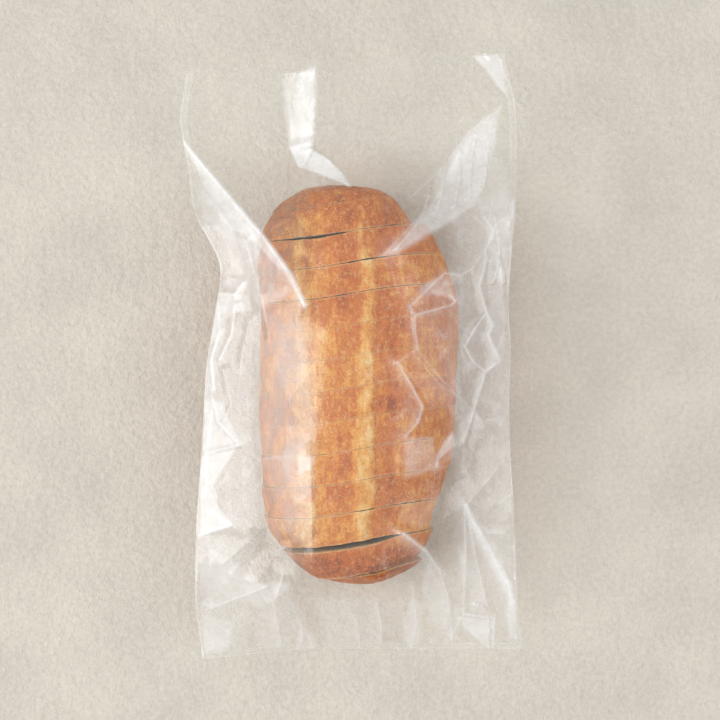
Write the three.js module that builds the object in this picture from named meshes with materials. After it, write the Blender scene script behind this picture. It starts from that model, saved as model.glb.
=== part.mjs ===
// A sliced country loaf inside a clear film bag, lying flat on the bag's back film.
// Millimetres, +Z up. +Y runs along the loaf towards the bag's open mouth, +X across it.
// The origin is on the surface the bag lies on, under the middle of the bag.
import * as THREE from "three";

// ---- Driving dimensions ----
const LOAF_LENGTH = 259; // with its slices closed up
const LOAF_WIDTH = 133;
const LOAF_HEIGHT = 82;
const LOAF_CENTRE = { x: 4.4, y: -16.5 };
const SLICE_PITCH = 20;
const FOOT_HEEL = 7; // the heel's depth at the foot of the bag; the other heel takes what is left
const CUT_GAP = 0.8; // between neighbouring slices
const HEEL_GAP = 3.2; // where the last two slices have slid away from the rest

const BAG_WIDTH = 232;
const BAG_LENGTH = 411;
const FILM = 0.8; // the film's thickness here: thick enough to be a solid
const CLEARANCE = 0.3; // between pieces that touch
const MOUTH_GAPE = 10; // height of the open mouth at its middle

// ---- Colours ----
const crust = new THREE.MeshStandardMaterial({ color: 0xc98650, roughness: 0.75, metalness: 0 });
const heelCrust = new THREE.MeshStandardMaterial({ color: 0xa9633c, roughness: 0.75, metalness: 0 });
const film = new THREE.MeshStandardMaterial({
  color: 0xe9e7e2,
  roughness: 0.12,
  metalness: 0,
  transparent: true,
  opacity: 0.25,
});

const mix = THREE.MathUtils.lerp;
const signedPower = (value, power) => Math.sign(value) * Math.abs(value) ** power;
const fadeOut = (share, power) => Math.max(0, 1 - Math.abs(share) ** power) ** (1 / power);

// ---- The loaf ----
// The plan and the crest are rounded rectangles, and both ends close at the height of the waist. The
// section is a dome over a flat foot with round edges.
const PLAN_POWER = 2.8;
const CREST_POWER = 3.4;
const FOOT_END_POWER = 14; // how far along the flat foot runs before it lifts towards the tips
const WAIST_SHARE = 0.34; // height of the widest line, as a share of the height
const TAPER = 0.03; // the loaf narrows a little towards the foot of the bag
const WIDEST_AT = 0.3; // share of the half length, towards the mouth
const SHOULDER_POWER = 0.88; // below 1, the dome has fuller shoulders than an ellipse
const DOME_POWER = 0.92;
const FOOT_POWER = 0.62; // rounds the edge between the flank and the flat foot
const HUB_SHARE = 0.45; // height of the middle point of a cut face, as a share of the height
const SOLE = FILM + CLEARANCE; // the crust's lowest level

const halfLength = LOAF_LENGTH / 2;
const waist = WAIST_SHARE * LOAF_HEIGHT;
const halfWidthAt = (share) =>
  (LOAF_WIDTH / 2) * (1 + TAPER * (share - WIDEST_AT)) * fadeOut(share, PLAN_POWER);
const crestAt = (share) => mix(waist, LOAF_HEIGHT, fadeOut(share, CREST_POWER));
const footAt = (share) => waist * (1 - fadeOut(share, FOOT_END_POWER));

function loafSection(along, angle) {
  const share = THREE.MathUtils.clamp(along / halfLength, -1, 1);
  const [across, up] = [Math.cos(angle), Math.sin(angle)];
  return up >= 0
    ? [halfWidthAt(share) * signedPower(across, SHOULDER_POWER), mix(waist, crestAt(share), up ** DOME_POWER)]
    : [halfWidthAt(share) * signedPower(across, FOOT_POWER), mix(waist, footAt(share), (-up) ** FOOT_POWER)];
}

// The slicer's blades cross the loaf at a slant, and the crumb relaxes into a shallow S.
const CUT_SLANT = 0.18;
const CUT_SWEEP = 38;
const cutDrift = (across) => CUT_SLANT * CUT_SWEEP * Math.tanh(across / CUT_SWEEP);

// ---- The slices ----
// Cut lines along the loaf, from the heel at the bag's foot to the heel at its mouth.
const SLICES = 14;
const END_TUCK = 0.3; // how far a heel's rounded end stops short of the loaf's very tip
const cuts = [-halfLength + END_TUCK];
for (let i = 0; i < SLICES - 1; i++) cuts.push(-halfLength + FOOT_HEEL + i * SLICE_PITCH);
cuts.push(halfLength - END_TUCK);

// How far each slice has slipped sideways, foot end first.
const SIDE_SLIP = [3, -2, -7, -4.5, -1.5, 0, 0, 0.5, 1, 1, -2, -5, -9, -10];

const AROUND = 36;
const SLICE_STEPS = 2;
const HEEL_STEPS = 6;
const SLANT_PASSES = 4;

// Where the crust meets the slanted surface that crosses the loaf at a distance along it. Slices slip
// sideways along that surface, so its drift is taken at the slipped place.
function crustPoint(along, angle, slant, slip) {
  let [across, up] = loafSection(along, angle);
  for (let pass = 0; pass < SLANT_PASSES; pass++)
    [across, up] = loafSection(along + slant * cutDrift(across + slip), angle);
  return [across + slip, along + slant * cutDrift(across + slip), up];
}

const hubPoint = (along, slant, slip) => [
  slip,
  along + slant * cutDrift(slip),
  HUB_SHARE * crestAt(along / halfLength),
];

function makeSlice(index) {
  const isHeel = index === 0 || index === SLICES - 1;
  const shift = index < 2 ? -HEEL_GAP : 0; // two slices have slid off towards the foot
  const low = cuts[index] + (index === 0 ? 0 : CUT_GAP / 2);
  const high = cuts[index + 1] - (index === SLICES - 1 ? 0 : CUT_GAP / 2);
  const steps = isHeel ? HEEL_STEPS : SLICE_STEPS;
  const shape = new THREE.CylinderGeometry(1, 1, 1, AROUND, steps);
  const place = shape.getAttribute("position");
  for (let i = 0; i < place.count; i++) {
    const radius = Math.hypot(place.getX(i), place.getZ(i));
    // Steps crowd towards a heel's tip, where the crust turns in and the slant fades.
    let share = place.getY(i) + 0.5;
    let slant = 1;
    if (index === 0) {
      slant = share;
      share **= 2;
    } else if (index === SLICES - 1) {
      slant = 1 - share;
      share = 1 - (1 - share) ** 2;
    }
    const along = mix(low, high, share);
    const angle = Math.atan2(place.getZ(i), place.getX(i));
    const isRim = radius > 0.5;
    const [x, y, z] = isRim
      ? crustPoint(along, angle, slant, SIDE_SLIP[index])
      : hubPoint(along, slant, SIDE_SLIP[index]);
    place.setXYZ(i, LOAF_CENTRE.x + x, LOAF_CENTRE.y + shift + y, SOLE + z);
  }
  const mesh = new THREE.Mesh(shape, isHeel ? heelCrust : crust);
  mesh.name = sliceName(index);
  return mesh;
}

function sliceName(index) {
  if (index === 0) return "heel_foot_end";
  if (index === SLICES - 1) return "heel_mouth_end";
  return "slice_" + String(index + 1).padStart(2, "0");
}

// How far the loaf has bent sideways at a distance along it, between the middles of its slices.
function bendAt(along) {
  const place = THREE.MathUtils.clamp((along - cuts[1]) / SLICE_PITCH + 0.5, 0, SLICES - 1);
  const index = Math.min(Math.floor(place), SLICES - 2);
  return mix(SIDE_SLIP[index], SIDE_SLIP[index + 1], place - index);
}

// ---- The bag ----
// The lay of the flat bag on the surface: each long edge wanders, given as its x at even steps along
// the bag, from the foot to the mouth.
const edgeCurve = (xs) => new THREE.SplineCurve(xs.map((x, step) => new THREE.Vector2(step, x)));
const LEFT_EDGE_XS = [-101, -105, -105.5, -104.4, -102, -100, -98, -92.6, -89.5, -104.8, -110, -116, -111.5];
const RIGHT_EDGE_XS = [116, 112.5, 111.3, 110.2, 107.9, 107.2, 108.2, 106.8, 109, 112, 112.4, 111.3, 103.7];
const leftEdge = edgeCurve(LEFT_EDGE_XS);
const rightEdge = edgeCurve(RIGHT_EDGE_XS);
const FOOT_RISE = 7; // how much higher the foot edge lies at its middle and right than at its left corner
const FOOT_SLOPE = 3; // the rise is complete a third of the way across
const MOUTH_DIP = 12; // how far the mouth edge sags at its left
const MOUTH_ARCH = 0.7; // below 1, the gape is broader than a sine arch

const ACROSS_CELLS = 22;
const ALONG_CELLS = 38;
const columns = ACROSS_CELLS + 1;

// Plan position of a film node; both shares run from 0 to 1.
function filmPlan(acrossShare, alongShare) {
  const left = Math.max(-BAG_WIDTH / 2, leftEdge.getPoint(alongShare).y);
  const right = Math.min(BAG_WIDTH / 2, rightEdge.getPoint(alongShare).y);
  const foot = -BAG_LENGTH / 2 + FOOT_RISE * Math.min(1, acrossShare * FOOT_SLOPE);
  const mouth = BAG_LENGTH / 2 - MOUTH_DIP * (1 - acrossShare) ** 2;
  return [mix(left, right, acrossShare), mix(foot, mouth, alongShare)];
}

// Height of the crust over a point of the plan, or 0 beside the loaf. Between two film nodes the
// film runs straight, so the crust is taken at its highest within STANDOFF of the point.
const STANDOFF = 7;
const FILM_LIFT = 1.2;
const SIDE_ROOM = 3; // to each side of the loaf, and past its ends

function crustHeight(x, y) {
  let highest = 0;
  for (const dx of [-STANDOFF, 0, STANDOFF])
    for (const dy of [-STANDOFF, 0, STANDOFF]) {
      const along = y + dy - LOAF_CENTRE.y;
      const across = x + dx - LOAF_CENTRE.x - bendAt(along);
      const share = along / (halfLength + SIDE_ROOM);
      const reach = halfWidthAt(share) + SIDE_ROOM;
      if (Math.abs(share) >= 1 || Math.abs(across) >= reach) continue;
      const cosine = Math.abs(across / reach) ** (1 / SHOULDER_POWER);
      const sine = Math.sqrt(1 - cosine ** 2);
      highest = Math.max(highest, mix(waist, crestAt(share), sine ** DOME_POWER));
    }
  return highest;
}

// The front film: pinned along its edges, pulled tight over the loaf. Each pass moves a node to the
// mean of its neighbours unless the crust holds it up.
const RELAX_PASSES = 1500;

function relaxedFilm() {
  const weld = FILM + CLEARANCE;
  const floor = [];
  const height = [];
  for (let j = 0; j <= ALONG_CELLS; j++)
    for (let i = 0; i <= ACROSS_CELLS; i++) {
      const [x, y] = filmPlan(i / ACROSS_CELLS, j / ALONG_CELLS);
      const held = crustHeight(x, y);
      floor.push(held > 0 ? SOLE + held + FILM_LIFT : weld);
      const isEdge = i === 0 || i === ACROSS_CELLS || j === 0 || j === ALONG_CELLS;
      height.push(isEdge ? weld : floor.at(-1));
    }
  for (let i = 0; i <= ACROSS_CELLS; i++) {
    const share = i / ACROSS_CELLS;
    height[ALONG_CELLS * columns + i] = weld + MOUTH_GAPE * Math.sin(Math.PI * share) ** MOUTH_ARCH;
  }
  for (let pass = 0; pass < RELAX_PASSES; pass++)
    for (let j = 1; j < ALONG_CELLS; j++)
      for (let i = 1; i < ACROSS_CELLS; i++) {
        const at = j * columns + i;
        const mean = (height[at - 1] + height[at + 1] + height[at - columns] + height[at + columns]) / 4;
        height[at] = Math.max(floor[at], mean);
      }
  return height;
}

// A film panel: a box one cell thick whose top and bottom faces are moved onto the film's surface.
function makePanel(name, heightAt, acrossCells, alongCells) {
  const shape = new THREE.BoxGeometry(1, 1, 1, acrossCells, alongCells, 1);
  const place = shape.getAttribute("position");
  for (let k = 0; k < place.count; k++) {
    const acrossShare = place.getX(k) + 0.5;
    const alongShare = place.getY(k) + 0.5;
    const isTop = place.getZ(k) > 0;
    const [x, y] = filmPlan(acrossShare, alongShare);
    place.setXYZ(k, x, y, heightAt(acrossShare, alongShare) + (isTop ? FILM : 0));
  }
  const mesh = new THREE.Mesh(shape, film);
  mesh.name = name;
  return mesh;
}

const drape = relaxedFilm();
const drapeAt = (acrossShare, alongShare) =>
  drape[Math.round(alongShare * ALONG_CELLS) * columns + Math.round(acrossShare * ACROSS_CELLS)];

// ---- Assembly ----
const baggedLoaf = new THREE.Group();
for (let index = 0; index < SLICES; index++) baggedLoaf.add(makeSlice(index));
baggedLoaf.add(makePanel("bag_back_film", () => 0, 3, ALONG_CELLS));
baggedLoaf.add(makePanel("bag_front_film", drapeAt, ACROSS_CELLS, ALONG_CELLS));

export default baggedLoaf;
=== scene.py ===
"""A sliced country loaf in a clear film bag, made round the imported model.

Lengths are in metres. +Y runs along the loaf towards the bag's open mouth, +X across it, +Z up.
"""

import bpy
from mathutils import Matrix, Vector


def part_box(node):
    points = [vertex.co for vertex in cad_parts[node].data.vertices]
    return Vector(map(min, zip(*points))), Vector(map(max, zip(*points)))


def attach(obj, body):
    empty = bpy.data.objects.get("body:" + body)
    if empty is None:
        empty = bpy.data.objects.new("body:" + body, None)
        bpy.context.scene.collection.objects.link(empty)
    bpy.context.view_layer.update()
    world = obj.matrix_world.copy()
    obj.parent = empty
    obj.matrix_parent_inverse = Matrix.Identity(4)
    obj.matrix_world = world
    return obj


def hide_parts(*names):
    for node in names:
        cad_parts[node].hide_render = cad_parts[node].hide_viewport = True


bl_info = {
    "name": "Sliced Country Loaf",
    "version": (1, 0, 0),
    "blender": (4, 5, 0),
    "location": "View3D > Sidebar > Loaf",
    "description": "Makes the loaf's slices, its film bag and a soft studio round the packed model",
    "category": "Add Mesh",
}

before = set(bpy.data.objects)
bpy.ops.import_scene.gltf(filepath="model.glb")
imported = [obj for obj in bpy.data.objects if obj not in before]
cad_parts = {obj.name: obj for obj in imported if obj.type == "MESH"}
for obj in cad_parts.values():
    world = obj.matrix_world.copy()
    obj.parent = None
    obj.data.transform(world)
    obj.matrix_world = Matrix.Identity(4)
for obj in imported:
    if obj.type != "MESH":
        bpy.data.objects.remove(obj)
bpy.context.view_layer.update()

import math

import bmesh
import bpy
import numpy as np
from bpy.props import FloatProperty, FloatVectorProperty, IntProperty, PointerProperty
from mathutils import Vector

MM = 0.001

# ---- Places taken from the frame ----
SLICE_COUNT = 14
SLICE_NAMES = (
    ["heel_foot_end"] + [f"slice_{n:02d}" for n in range(2, SLICE_COUNT)] + ["heel_mouth_end"]
)
MIDDLE = 6  # index of a slice that hasn't slipped to either side
END_TUCK = 0.3 * MM  # how far a heel's rounded end stops short of the loaf's very tip


def middle_of(node):
    low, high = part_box(node)
    return (low + high) / 2


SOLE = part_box(SLICE_NAMES[MIDDLE])[0].z
LOAF_X = middle_of(SLICE_NAMES[MIDDLE]).x
SLICE_PITCH = middle_of(SLICE_NAMES[MIDDLE]).y - middle_of(SLICE_NAMES[MIDDLE - 1]).y
BAG_LOW, BAG_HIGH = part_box("bag_front_film")

# ---- The loaf's form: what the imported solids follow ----
PLAN_POWER = 2.8  # roundness of the outline in plan: 2 is an ellipse, and more is squarer
CREST_POWER = 3.4  # the same for the line of the top, seen from the side
FOOT_END_POWER = 14  # and for the line of the underside
WAIST_SHARE = 0.34  # height of the widest line, as a share of the loaf's height
TAPER = 0.03  # how much wider the loaf gets from its middle to its mouth end
WIDTH_AT = 0.3  # share of the way to the mouth end where the loaf's width is the one set
SHOULDER_POWER = 0.88  # a cross section's curves: out to the side, up to the top and down to the foot
DOME_POWER = 0.92
FOOT_POWER = 0.62
HUB_SHARE = 0.45  # height of a cut face's middle point, as a share of the top's
CUT_SWEEP = 38 * MM  # how far from the middle the cuts keep their slant, before they straighten
SLANT_PASSES = 4
PROBE = 0.4 * MM, 0.004  # steps along and round the crust that its facing is measured over
# How far each slice has slipped to the side, from the foot end.
SIDE_SLIP = np.array([3, -2, -7, -4.5, -1.5, 0, 0, 0.5, 1, 1, -2, -5, -9, -10]) * MM


def mix(start, end, share):
    return start + (end - start) * share


def smooth_step(value, low, high):
    share = np.clip((value - low) / (high - low), 0, 1)
    return share * share * (3 - 2 * share)


def hump(value, middle, reach):
    """1 at the middle, falling to almost nothing at twice the reach."""
    return np.exp(-(((value - middle) / reach) ** 2))


def signed_power(value, power):
    return np.sign(value) * np.abs(value) ** power


def fade_out(share, power):
    return np.maximum(0, 1 - np.abs(share) ** power) ** (1 / power)


class Lattice:
    """Smooth noise from -1 to 1 in space, from a seeded block of numbers that repeats."""

    SIZE = 32

    def __init__(self, seed):
        self.values = np.random.RandomState(seed).uniform(-1, 1, (self.SIZE,) * 3)

    def at(self, points, scale):
        cell = points / scale
        low = np.floor(cell).astype(int)
        blend = cell - low
        blend = blend * blend * (3 - 2 * blend)
        total = 0
        for corner in np.ndindex(2, 2, 2):
            weight = np.prod(np.where(corner, blend, 1 - blend), axis=-1)
            index = np.moveaxis((low + corner) % self.SIZE, -1, 0)
            total = total + weight * self.values[tuple(index)]
        return total

    def layered(self, points, scale, layers):
        total = 0
        for layer in range(layers):
            total = total + self.at(points + 7.3 * scale * layer, scale / 2**layer) / 1.8**layer
        return total


NOISE = Lattice(11)


class LoafForm:
    """The smooth loaf before its slices, worked out from the settings."""

    def __init__(self, loaf):
        self.length = loaf.length
        self.width = loaf.width
        self.height = loaf.height
        self.slant = loaf.cut_slant
        self.waist = WAIST_SHARE * loaf.height
        self.half = loaf.length / 2
        self.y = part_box(SLICE_NAMES[-1])[1].y + END_TUCK - self.half
        inner = [-self.half + loaf.foot_heel + i * SLICE_PITCH for i in range(SLICE_COUNT - 1)]
        self.cuts = [-self.half + END_TUCK, *inner, self.half - END_TUCK]
        self.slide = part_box(SLICE_NAMES[0])[0].y - (self.y + self.cuts[0])

    def half_width(self, share):
        return self.width / 2 * (1 + TAPER * (share - WIDTH_AT)) * fade_out(share, PLAN_POWER)

    def crest(self, share):
        return mix(self.waist, self.height, fade_out(share, CREST_POWER))

    def foot(self, share):
        return self.waist * (1 - fade_out(share, FOOT_END_POWER))

    def section(self, along, angle):
        share = np.clip(along / self.half, -1, 1)
        across, up = np.cos(angle), np.sin(angle)
        above = up >= 0
        width = signed_power(across, np.where(above, SHOULDER_POWER, FOOT_POWER))
        rise = np.abs(up) ** np.where(above, DOME_POWER, FOOT_POWER)
        edge = np.where(above, self.crest(share), self.foot(share))
        return self.half_width(share) * width, mix(self.waist, edge, rise)

    def drift(self, across):
        return self.slant * CUT_SWEEP * np.tanh(across / CUT_SWEEP)

    def crust(self, along, angle, lean, slip):
        """Where the crust meets the slanted surface that crosses the loaf at a distance along it."""
        across, up = self.section(along, angle)
        for _ in range(SLANT_PASSES):
            across, up = self.section(along + lean * self.drift(across + slip), angle)
        x = across + slip
        return np.stack([x, along + lean * self.drift(x), up], axis=-1)

    def crust_facing(self, along, angle, lean, slip):
        """The crust's outward direction, from points a little to each side."""
        step, turn = PROBE
        ahead = self.crust(along + step, angle, lean, slip) - self.crust(along - step, angle, lean, slip)
        round_it = self.crust(along, angle + turn, lean, slip) - self.crust(along, angle - turn, lean, slip)
        facing = np.cross(round_it, ahead)
        return facing / np.maximum(np.linalg.norm(facing, axis=-1, keepdims=True), 1e-12)

    def bend(self, along):
        """How far the loaf has bent sideways, between the middles of its slices."""
        middles = (np.array(self.cuts[1:-1]) + SLICE_PITCH / 2)[:-1]
        return np.interp(along, middles, SIDE_SLIP[1:-1])

    def top(self, x, y, room):
        """Height of the crust over a point of the plan, or 0 beside the loaf."""
        along = y - self.y
        share = along / (self.half + room)
        reach = self.half_width(np.clip(share, -1, 1)) + room
        across = np.abs(x - LOAF_X - self.bend(along))
        over = (np.abs(share) < 1) & (across < reach)
        cosine = np.clip(across / np.maximum(reach, 1e-9), 0, 1) ** (1 / SHOULDER_POWER)
        rise = np.sqrt(1 - cosine**2) ** DOME_POWER
        return np.where(over, SOLE + mix(self.waist, self.crest(np.clip(share, -1, 1)), rise), 0)


# ---- The crust's bands ----
# The baker scored the dough lengthwise, so the top bakes in bands. Bake runs from -1, pale, to 1, dark, and
# a pale band is a scored opening that lies a little lower. Each is (bake, rise, path), and a path lists
# (y, x of the band's middle, half width), in millimetres.
BANDS = [
    (-0.5, -0.6, [(80, -33, 3.0), (52, -32, 4.2), (0, -30, 5.0), (-50, -29, 6.5), (-90, -28, 4.5),
                  (-120, -28, 3.0)]),
    (-0.08, 0.5, [(80, -21, 5.5), (-120, -21, 5.0)]),
    (0.08, 0.3, [(80, -13.5, 2.5), (-120, -13.5, 2.5)]),
    (0.16, 0.2, [(80, -3, 6.0), (-120, -4, 6.0)]),
    (-0.52, -0.6, [(76, 7, 1.5), (67, 7, 2.9), (58, 12, 4.1), (20, 12, 4.1), (-21, 11, 4.0), (-54, 9.5, 6.2),
                   (-91, 9.5, 6.0), (-104, 8, 4.4), (-112, 8, 2.4)]),
    (0.3, 0.6, [(80, 22.5, 7.5), (-120, 22.5, 7.5)]),
    (0.08, 0.0, [(80, 40, 8), (-120, 40, 8)]),
]
# Where one patch of crust has baked darker or paler than its band, and two narrow dark lines along cracks:
# (x, y, reach across, along, bake), in millimetres.
PATCHES = [
    (31, -34, 11, 9, 0.35),
    (2, -62, 10, 12, 0.1),
    (-2, 34, 12, 12, 0.25),
    (30, 18, 12, 16, 0.15),
    (-30, 70, 14, 9, -0.12),
    (10, -64, 8, 22, -0.15),
    (12, 60, 8, 16, -0.1),
    (26, -92, 9, 16, 0.22),
    (-14, -74, 7, 20, 0.14),
    (24, 4, 7, 18, 0.16),
    (-6, 12, 6, 14, -0.14),
    (-12, -30, 6, 16, 0.12),
    (-20, 96, 22, 8, 0.2),
    (24, 92, 16, 12, 0.25),
    (-12, -134, 26, 8, 0.42),
    (8, -124, 34, 5, 0.3),
    (30, -134, 22, 8, 0.4),
    (-10, 48, 26, 22, 0.22),
    (2, 52, 8, 9, 0.25),
    (52, 34, 8, 18, 0.2),
    # these two are narrow dark lines along cracks in the crust
    (-28.5, 58, 0.9, 7, 0.9),
    (-43, 90, 5, 0.8, 0.8),
    (22, 38, 9, 3, -0.2),
    (-18, 8, 5, 9, -0.2),
    (-22, -30, 5, 14, -0.2),
]
# The crust's relief: how high each kind stands and how wide it is.
SWELL = 0.9 * MM, 34 * MM
WRINKLE = 0.28 * MM, 2.4 * MM
PEBBLE = 0.22 * MM, 3.2 * MM
BLISTER = 0.5 * MM, 7 * MM
PUCKER = 0.55 * MM, 5 * MM
TEAR = 0.35 * MM, 4 * MM
BLISTER_FROM = 0.45  # only noise above this rises as a blister
LIP = 0.35 * MM  # how far a score's edges stand up
LENGTHWISE = np.array([1, 0.35, 1])  # squeezes space, so that wrinkles run along the loaf
CROSSWISE = np.array([0.22, 1, 0.6])  # and this so that the mouth end's puckers run across it
# How baked the crust is away from bands and patches, and what everything else adds to that.
BASE_BAKE, DRIFT_BAKE, MOTTLE_BAKE, BAND_BAKE, PATCH_BAKE = 0.505, 0.045, 0.06, 0.45, 0.5
ENDS_BAKE, FOOT_END_BAKE, MOUTH_END_BAKE, FLANK_BAKE, UNDER_BAKE = 0.05, 0.16, 0.1, 0.12, -0.05
LEFT_FLANK_SHADE = 0.2  # painted shade: how much more the left flank, which faces the window light, has of the flank's bake
PALE_BAKE = -0.4  # bands paler than this are open scores
BAND_SOFT = 0.8 * MM  # how softly a band's edges run out
BLEND_SLIP = 0.6  # how far a slice's sides lean towards its neighbours' instead of stepping


def band_lines(place, form):
    """Each band's share of a point on the top, with edges that wander along the loaf."""
    x, y, z = np.moveaxis(place, -1, 0)
    on_top = smooth_step(z - SOLE, form.waist * 0.9, form.height * 0.8)
    inside = smooth_step(form.half - 16 * MM - np.abs(y - form.y), 0, 14 * MM)
    flat = np.stack([x * 0, y, x * 0], axis=-1)
    shares = []
    for number, (_bake, _rise, path) in enumerate(BANDS):
        ys, middles, halves = (np.array(path).T * MM)[:, ::-1]
        wander = 0.9 * MM * NOISE.at(flat + number * 0.37, 22 * MM)
        wander = wander + 1.5 * MM * NOISE.layered(place, 6 * MM, 2)
        width = np.interp(y, ys, halves) * (1 + 0.3 * NOISE.at(flat + number * 0.91, 16 * MM))
        off = np.abs(x - np.interp(y, ys, middles) - wander)
        shares.append(smooth_step(width - off, -BAND_SOFT, BAND_SOFT) * on_top * inside)
    return shares


def crust_rise(place, form):
    """How far the crust stands out from the smooth loaf: swells, scores, wrinkles and blisters."""
    swell = SWELL[0] * NOISE.layered(place, SWELL[1], 2)
    wrinkle = WRINKLE[0] * NOISE.at(place * LENGTHWISE, WRINKLE[1])
    pebble = PEBBLE[0] * NOISE.at(place + 0.05, PEBBLE[1])
    blister = BLISTER[0] * np.maximum(0, NOISE.at(place + 0.4, BLISTER[1]) - BLISTER_FROM)
    mouth_end = smooth_step(place[..., 1] - form.y, form.half - 34 * MM, form.half - 12 * MM)
    pucker = PUCKER[0] * mouth_end * NOISE.layered(place * CROSSWISE + 0.11, PUCKER[1], 2)
    total = swell + wrinkle + pebble + blister + pucker
    torn = TEAR[0] * NOISE.layered(place * np.array([1, 0.5, 1]), TEAR[1], 2)
    for share, (bake, rise, _path) in zip(band_lines(place, form), BANDS):
        is_score = bake < PALE_BAKE
        total = total + share * (rise * MM + torn * is_score)
        total = total + LIP * is_score * (share * (1 - share) * 4)
    return total


def crust_bake(place, form):
    """How dark the crust has baked at a point, from 0, pale, to 1, nearly burnt."""
    x, y, z = np.moveaxis(place, -1, 0)
    mottle = NOISE.layered(place * np.array([1, 0.6, 1]) + 0.9, 3.6 * MM, 3)
    bake = BASE_BAKE + DRIFT_BAKE * NOISE.layered(place + 1.7, 24 * MM, 3) + MOTTLE_BAKE * mottle
    for share, (amount, _rise, _path) in zip(band_lines(place, form), BANDS):
        patchy = np.clip(0.8 + 1.1 * mottle, 0.3, 1.5) if amount < PALE_BAKE else 1
        bake = bake + BAND_BAKE * share * amount * patchy
    for px, py, across, along, amount in PATCHES:
        bake = bake + PATCH_BAKE * amount * hump(x, px * MM, across * MM) * hump(y, py * MM, along * MM)
    ends = smooth_step(np.abs(y - form.y), form.half - 34 * MM, form.half - 2 * MM)
    foot_end = smooth_step(form.y - y, form.half - 30 * MM, form.half - 10 * MM)
    flank = smooth_step(np.abs(x - LOAF_X), 34 * MM, 60 * MM)
    # the left flank gets more of it as painted shade, where the window light falls
    flank = flank + LEFT_FLANK_SHADE * smooth_step(LOAF_X - x, 26 * MM, 52 * MM)
    mouth_end = smooth_step(y - form.y, form.half - 50 * MM, form.half - 16 * MM)
    under = smooth_step(-z + SOLE, -12 * MM, 0)
    bake = bake + ENDS_BAKE * ends + FOOT_END_BAKE * foot_end + MOUTH_END_BAKE * mouth_end
    return np.clip(bake + FLANK_BAKE * flank + UNDER_BAKE * under, 0, 1)


# ---- The slices ----
CRUST_FACES, CRUMB_FACES = 0, 1
RIM_STEPS = [0.3 * MM, 0.75 * MM, 1.4 * MM, 2.3 * MM]  # rings that round the crust's cut edge
EDGE_SOFT = 0.22 * MM  # how far the crust turns in at a cut
PALE_EDGE = 1.5 * MM  # how far from a cut the crust has flaked to show crumb
PAINTED_SHADE_FROM_TO = 16 * MM, 50 * MM  # left of the loaf's middle, where painted shade dulls the crust that faces the window light
AROUND = 320  # points round a slice
CUT_RINGS = 12  # rings of points from a cut face's middle to its edge
BAND_STEP, HEEL_STEP = 1.15 * MM, 1.0 * MM  # between the rings of a slice's crust and of a heel's
HEEL_EXTRA = 14  # more rings for a heel, which gather at its tip
TURN_REACH = 1.2 * MM  # how far from a cut the crust starts to turn in
SOLE_RELIEF = 0.15  # share of the crust's relief at the sole
SOLE_FADE = 5 * MM  # height over the sole from which all of it is there
GAP_REACH = 6 * MM  # how far from a cut the crust gives way to the gap
CRUMB_RELIEF = 0.35 * MM, 5 * MM  # height and width of the bumps on a cut face
TIP_RELIEF = 0.6 * MM, 12 * MM  # and on a heel's rounded end
NARROW_FROM_TO = 0, 45 * MM  # across the loaf, where the narrower right side sets in
LEAST_GAP = 0.03 * MM  # half of the gap at a cut where the slices press together
# Gaps that stand open at the top: (index of the cut, x of the middle, reach, how far it opens), in mm.
GAPES = [
    (12, -29, 17, 1.9), (11, 8, 24, 0.5), (10, 0, 40, 0.2),
    (3, 40, 16, 0.7), (3, 8, 6, 0.5), (1, 20, 34, 0.3),
]
# How open each cut is, from the foot end, as a share of the usual gap.
CUT_SHARE = [0.8, 0.7, 0.55, 0.45, 0.4, 0.2, 0.2, 0.2, 0.25, 0.5, 0.6, 0.6, 0.15]
CLOSED_UP = 0.92  # how much of the slid gap closes again at the right, where the slices lean together
CLOSED_FROM_TO = 14 * MM, 38 * MM
NARROWED = SLICE_COUNT - 2  # from this slice to the mouth heel the right side is narrower
NARROW_SHARE = 0.15


def half_gap(cut, place, form, gap):
    """Half the gap at a cut: uneven, and wider where the slices lean apart."""
    x, z = place[..., 0], place[..., 2]
    line = np.stack([x, x * 0 + cut, z], axis=-1)
    ragged = 0.5 + 0.3 * NOISE.layered(line, 14 * MM, 3) + 0.6 * NOISE.at(line + 0.2, 2.2 * MM)
    half = gap * CUT_SHARE[cut - 1] * ragged
    for index, middle, reach, opening in GAPES:
        if index == cut:
            at_top = smooth_step(z, form.waist, form.height)
            leaning = hump(x, middle * MM, reach * MM)
            half = half + opening * MM / 2 * leaning * at_top * (0.4 + 1.1 * ragged)
    return np.maximum(half, LEAST_GAP)


def band_stations(low, high):
    """Distances along a slice's crust, close together at its two cut edges."""
    count = max(3, int((high - low) / BAND_STEP) - 3)
    inner = np.linspace(low + RIM_STEPS[-1], high - RIM_STEPS[-1], count)
    rim = np.array(RIM_STEPS[:-1])
    return np.concatenate([[low], low + rim, inner, high - rim[::-1], [high]])


def grid_of(points, name):
    """A mesh from a grid of points: a bmesh grid whose corners are moved to the points."""
    rows, columns = points.shape[:2]
    mesh = bmesh.new()
    bmesh.ops.create_grid(mesh, x_segments=columns - 1, y_segments=rows - 1, size=0.5)
    if len(mesh.verts) != rows * columns:
        raise RuntimeError(f"{name}: the grid has {len(mesh.verts)} corners, not {rows * columns}")
    for vert, place in zip(mesh.verts, points.reshape(-1, 3)):
        vert.co = place
    return mesh


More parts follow.
